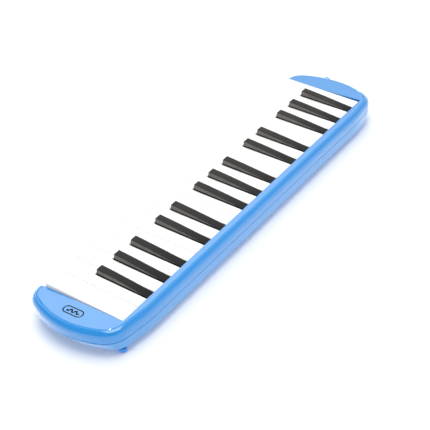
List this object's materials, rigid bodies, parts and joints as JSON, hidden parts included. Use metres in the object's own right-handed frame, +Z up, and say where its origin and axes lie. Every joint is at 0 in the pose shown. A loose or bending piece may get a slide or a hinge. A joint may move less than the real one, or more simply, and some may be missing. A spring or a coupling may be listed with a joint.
{
  "type": "melodica",
  "caption": "Mouth-blown free-reed keyboard in a glossy two-shell plastic case, with piano-style keys on a pivot rod, a blow socket at one end and a drain button at the other.",
  "frame": {"origin": "centre of the footprint, on the table the feet rest on", "axes": "+X towards the high notes, +Y towards the rear rail behind the keys, +Z up"},
  "size_m": [0.4278, 0.1032, 0.0341],
  "materials": {
    "blue_abs": "glossy moulded ABS, light sky blue",
    "blue_abs_lower": "glossy moulded ABS, light sky blue",
    "drain_blue": "glossy moulded ABS, deep blue",
    "ivory_abs": "polished white ABS",
    "black_abs": "satin black ABS",
    "grey_abs": "plain moulded ABS",
    "reed_brass": "rolled brass, unpolished",
    "steel": "zinc plated",
    "spring_steel": "rolled spring steel",
    "felt": "pressed felt, dark red",
    "seal_rubber": "soft silicone",
    "black_rubber": "matt rubber",
    "strap_webbing": "woven polypropylene webbing"
  },
  "bodies": {
    "case": {"top_cover": "blue_abs", "bottom_cover": "blue_abs_lower", "reed_block": "grey_abs", "wind_chamber": "grey_abs", "chamber_gasket": "seal_rubber", "reed_plate_low": "reed_brass", "reed_plate_high": "reed_brass", "reed_tongues": "reed_brass", "reed_plate_screws": "steel", "key_pivot_rod": "steel", "key_spring_comb": "spring_steel", "key_stop_felts": "felt", "mouthpiece_socket": "blue_abs_lower", "socket_seal": "seal_rubber", "drain_spring": "spring_steel", "cover_screws": "steel", "chamber_screws": "steel", "rubber_feet": "black_rubber", "hand_strap": "strap_webbing", "strap_anchors": "black_abs", "strap_screws": "steel"},
    "drain_valve": {"drain_button": "drain_blue", "drain_seal": "seal_rubber"},
    "white_key_f3": {"white_key_f3": "ivory_abs"},
    "black_key_f3_sharp": {"black_key_f3_sharp": "black_abs"},
    "white_key_g3": {"white_key_g3": "ivory_abs"},
    "black_key_g3_sharp": {"black_key_g3_sharp": "black_abs"},
    "white_key_a3": {"white_key_a3": "ivory_abs"},
    "black_key_a3_sharp": {"black_key_a3_sharp": "black_abs"},
    "white_key_b3": {"white_key_b3": "ivory_abs"},
    "white_key_c4": {"white_key_c4": "ivory_abs"},
    "black_key_c4_sharp": {"black_key_c4_sharp": "black_abs"},
    "white_key_d4": {"white_key_d4": "ivory_abs"},
    "black_key_d4_sharp": {"black_key_d4_sharp": "black_abs"},
    "white_key_e4": {"white_key_e4": "ivory_abs"},
    "white_key_f4": {"white_key_f4": "ivory_abs"},
    "black_key_f4_sharp": {"black_key_f4_sharp": "black_abs"},
    "white_key_g4": {"white_key_g4": "ivory_abs"},
    "black_key_g4_sharp": {"black_key_g4_sharp": "black_abs"},
    "white_key_a4": {"white_key_a4": "ivory_abs"},
    "black_key_a4_sharp": {"black_key_a4_sharp": "black_abs"},
    "white_key_b4": {"white_key_b4": "ivory_abs"},
    "white_key_c5": {"white_key_c5": "ivory_abs"},
    "black_key_c5_sharp": {"black_key_c5_sharp": "black_abs"},
    "white_key_d5": {"white_key_d5": "ivory_abs"},
    "black_key_d5_sharp": {"black_key_d5_sharp": "black_abs"},
    "white_key_e5": {"white_key_e5": "ivory_abs"},
    "white_key_f5": {"white_key_f5": "ivory_abs"},
    "black_key_f5_sharp": {"black_key_f5_sharp": "black_abs"},
    "white_key_g5": {"white_key_g5": "ivory_abs"},
    "black_key_g5_sharp": {"black_key_g5_sharp": "black_abs"},
    "white_key_a5": {"white_key_a5": "ivory_abs"},
    "black_key_a5_sharp": {"black_key_a5_sharp": "black_abs"},
    "white_key_b5": {"white_key_b5": "ivory_abs"},
    "white_key_c6": {"white_key_c6": "ivory_abs"}
  },
  "joints": [
    {"name": "press_white_f3", "type": "hinge", "parent": "case", "child": "white_key_f3", "pos_m": [0, 0.02405, 0.018], "axis": [1, 0, 0], "range_deg": [0, 3.2], "stiffness_Nm_per_rad": 0.02, "springref_deg": -28.65, "deforming": ["key_spring_comb"]},
    {"name": "press_black_f3_sharp", "type": "hinge", "parent": "case", "child": "black_key_f3_sharp", "pos_m": [0, 0.02405, 0.018], "axis": [1, 0, 0], "range_deg": [0, 3.2], "stiffness_Nm_per_rad": 0.02, "springref_deg": -28.65, "deforming": ["key_spring_comb"]},
    {"name": "press_white_g3", "type": "hinge", "parent": "case", "child": "white_key_g3", "pos_m": [0, 0.02405, 0.018], "axis": [1, 0, 0], "range_deg": [0, 3.2], "stiffness_Nm_per_rad": 0.02, "springref_deg": -28.65, "deforming": ["key_spring_comb"]},
    {"name": "press_black_g3_sharp", "type": "hinge", "parent": "case", "child": "black_key_g3_sharp", "pos_m": [0, 0.02405, 0.018], "axis": [1, 0, 0], "range_deg": [0, 3.2], "stiffness_Nm_per_rad": 0.02, "springref_deg": -28.65, "deforming": ["key_spring_comb"]},
    {"name": "press_white_a3", "type": "hinge", "parent": "case", "child": "white_key_a3", "pos_m": [0, 0.02405, 0.018], "axis": [1, 0, 0], "range_deg": [0, 3.2], "stiffness_Nm_per_rad": 0.02, "springref_deg": -28.65, "deforming": ["key_spring_comb"]},
    {"name": "press_black_a3_sharp", "type": "hinge", "parent": "case", "child": "black_key_a3_sharp", "pos_m": [0, 0.02405, 0.018], "axis": [1, 0, 0], "range_deg": [0, 3.2], "stiffness_Nm_per_rad": 0.02, "springref_deg": -28.65, "deforming": ["key_spring_comb"]},
    {"name": "press_white_b3", "type": "hinge", "parent": "case", "child": "white_key_b3", "pos_m": [0, 0.02405, 0.018], "axis": [1, 0, 0], "range_deg": [0, 3.2], "stiffness_Nm_per_rad": 0.02, "springref_deg": -28.65, "deforming": ["key_spring_comb"]},
    {"name": "press_white_c4", "type": "hinge", "parent": "case", "child": "white_key_c4", "pos_m": [0, 0.02405, 0.018], "axis": [1, 0, 0], "range_deg": [0, 3.2], "stiffness_Nm_per_rad": 0.02, "springref_deg": -28.65, "deforming": ["key_spring_comb"]},
    {"name": "press_black_c4_sharp", "type": "hinge", "parent": "case", "child": "black_key_c4_sharp", "pos_m": [0, 0.02405, 0.018], "axis": [1, 0, 0], "range_deg": [0, 3.2], "stiffness_Nm_per_rad": 0.02, "springref_deg": -28.65, "deforming": ["key_spring_comb"]},
    {"name": "press_white_d4", "type": "hinge", "parent": "case", "child": "white_key_d4", "pos_m": [0, 0.02405, 0.018], "axis": [1, 0, 0], "range_deg": [0, 3.2], "stiffness_Nm_per_rad": 0.02, "springref_deg": -28.65, "deforming": ["key_spring_comb"]},
    {"name": "press_black_d4_sharp", "type": "hinge", "parent": "case", "child": "black_key_d4_sharp", "pos_m": [0, 0.02405, 0.018], "axis": [1, 0, 0], "range_deg": [0, 3.2], "stiffness_Nm_per_rad": 0.02, "springref_deg": -28.65, "deforming": ["key_spring_comb"]},
    {"name": "press_white_e4", "type": "hinge", "parent": "case", "child": "white_key_e4", "pos_m": [0, 0.02405, 0.018], "axis": [1, 0, 0], "range_deg": [0, 3.2], "stiffness_Nm_per_rad": 0.02, "springref_deg": -28.65, "deforming": ["key_spring_comb"]},
    {"name": "press_white_f4", "type": "hinge", "parent": "case", "child": "white_key_f4", "pos_m": [0, 0.02405, 0.018], "axis": [1, 0, 0], "range_deg": [0, 3.2], "stiffness_Nm_per_rad": 0.02, "springref_deg": -28.65, "deforming": ["key_spring_comb"]},
    {"name": "press_black_f4_sharp", "type": "hinge", "parent": "case", "child": "black_key_f4_sharp", "pos_m": [0, 0.02405, 0.018], "axis": [1, 0, 0], "range_deg": [0, 3.2], "stiffness_Nm_per_rad": 0.02, "springref_deg": -28.65, "deforming": ["key_spring_comb"]},
    {"name": "press_white_g4", "type": "hinge", "parent": "case", "child": "white_key_g4", "pos_m": [0, 0.02405, 0.018], "axis": [1, 0, 0], "range_deg": [0, 3.2], "stiffness_Nm_per_rad": 0.02, "springref_deg": -28.65, "deforming": ["key_spring_comb"]},
    {"name": "press_black_g4_sharp", "type": "hinge", "parent": "case", "child": "black_key_g4_sharp", "pos_m": [0, 0.02405, 0.018], "axis": [1, 0, 0], "range_deg": [0, 3.2], "stiffness_Nm_per_rad": 0.02, "springref_deg": -28.65, "deforming": ["key_spring_comb"]},
    {"name": "press_white_a4", "type": "hinge", "parent": "case", "child": "white_key_a4", "pos_m": [0, 0.02405, 0.018], "axis": [1, 0, 0], "range_deg": [0, 3.2], "stiffness_Nm_per_rad": 0.02, "springref_deg": -28.65, "deforming": ["key_spring_comb"]},
    {"name": "press_black_a4_sharp", "type": "hinge", "parent": "case", "child": "black_key_a4_sharp", "pos_m": [0, 0.02405, 0.018], "axis": [1, 0, 0], "range_deg": [0, 3.2], "stiffness_Nm_per_rad": 0.02, "springref_deg": -28.65, "deforming": ["key_spring_comb"]},
    {"name": "press_white_b4", "type": "hinge", "parent": "case", "child": "white_key_b4", "pos_m": [0, 0.02405, 0.018], "axis": [1, 0, 0], "range_deg": [0, 3.2], "stiffness_Nm_per_rad": 0.02, "springref_deg": -28.65, "deforming": ["key_spring_comb"]},
    {"name": "press_white_c5", "type": "hinge", "parent": "case", "child": "white_key_c5", "pos_m": [0, 0.02405, 0.018], "axis": [1, 0, 0], "range_deg": [0, 3.2], "stiffness_Nm_per_rad": 0.02, "springref_deg": -28.65, "deforming": ["key_spring_comb"]},
    {"name": "press_black_c5_sharp", "type": "hinge", "parent": "case", "child": "black_key_c5_sharp", "pos_m": [0, 0.02405, 0.018], "axis": [1, 0, 0], "range_deg": [0, 3.2], "stiffness_Nm_per_rad": 0.02, "springref_deg": -28.65, "deforming": ["key_spring_comb"]},
    {"name": "press_white_d5", "type": "hinge", "parent": "case", "child": "white_key_d5", "pos_m": [0, 0.02405, 0.018], "axis": [1, 0, 0], "range_deg": [0, 3.2], "stiffness_Nm_per_rad": 0.02, "springref_deg": -28.65, "deforming": ["key_spring_comb"]},
    {"name": "press_black_d5_sharp", "type": "hinge", "parent": "case", "child": "black_key_d5_sharp", "pos_m": [0, 0.02405, 0.018], "axis": [1, 0, 0], "range_deg": [0, 3.2], "stiffness_Nm_per_rad": 0.02, "springref_deg": -28.65, "deforming": ["key_spring_comb"]},
    {"name": "press_white_e5", "type": "hinge", "parent": "case", "child": "white_key_e5", "pos_m": [0, 0.02405, 0.018], "axis": [1, 0, 0], "range_deg": [0, 3.2], "stiffness_Nm_per_rad": 0.02, "springref_deg": -28.65, "deforming": ["key_spring_comb"]},
    {"name": "press_white_f5", "type": "hinge", "parent": "case", "child": "white_key_f5", "pos_m": [0, 0.02405, 0.018], "axis": [1, 0, 0], "range_deg": [0, 3.2], "stiffness_Nm_per_rad": 0.02, "springref_deg": -28.65, "deforming": ["key_spring_comb"]},
    {"name": "press_black_f5_sharp", "type": "hinge", "parent": "case", "child": "black_key_f5_sharp", "pos_m": [0, 0.02405, 0.018], "axis": [1, 0, 0], "range_deg": [0, 3.2], "stiffness_Nm_per_rad": 0.02, "springref_deg": -28.65, "deforming": ["key_spring_comb"]},
    {"name": "press_white_g5", "type": "hinge", "parent": "case", "child": "white_key_g5", "pos_m": [0, 0.02405, 0.018], "axis": [1, 0, 0], "range_deg": [0, 3.2], "stiffness_Nm_per_rad": 0.02, "springref_deg": -28.65, "deforming": ["key_spring_comb"]},
    {"name": "press_black_g5_sharp", "type": "hinge", "parent": "case", "child": "black_key_g5_sharp", "pos_m": [0, 0.02405, 0.018], "axis": [1, 0, 0], "range_deg": [0, 3.2], "stiffness_Nm_per_rad": 0.02, "springref_deg": -28.65, "deforming": ["key_spring_comb"]},
    {"name": "press_white_a5", "type": "hinge", "parent": "case", "child": "white_key_a5", "pos_m": [0, 0.02405, 0.018], "axis": [1, 0, 0], "range_deg": [0, 3.2], "stiffness_Nm_per_rad": 0.02, "springref_deg": -28.65, "deforming": ["key_spring_comb"]},
    {"name": "press_black_a5_sharp", "type": "hinge", "parent": "case", "child": "black_key_a5_sharp", "pos_m": [0, 0.02405, 0.018], "axis": [1, 0, 0], "range_deg": [0, 3.2], "stiffness_Nm_per_rad": 0.02, "springref_deg": -28.65, "deforming": ["key_spring_comb"]},
    {"name": "press_white_b5", "type": "hinge", "parent": "case", "child": "white_key_b5", "pos_m": [0, 0.02405, 0.018], "axis": [1, 0, 0], "range_deg": [0, 3.2], "stiffness_Nm_per_rad": 0.02, "springref_deg": -28.65, "deforming": ["key_spring_comb"]},
    {"name": "press_white_c6", "type": "hinge", "parent": "case", "child": "white_key_c6", "pos_m": [0, 0.02405, 0.018], "axis": [1, 0, 0], "range_deg": [0, 3.2], "stiffness_Nm_per_rad": 0.02, "springref_deg": -28.65, "deforming": ["key_spring_comb"]},
    {"name": "drain_press", "type": "slide", "parent": "case", "child": "drain_valve", "axis": [0, 0, 1], "range_m": [0, 0.0015], "deforming": ["drain_spring"]}
  ]
}
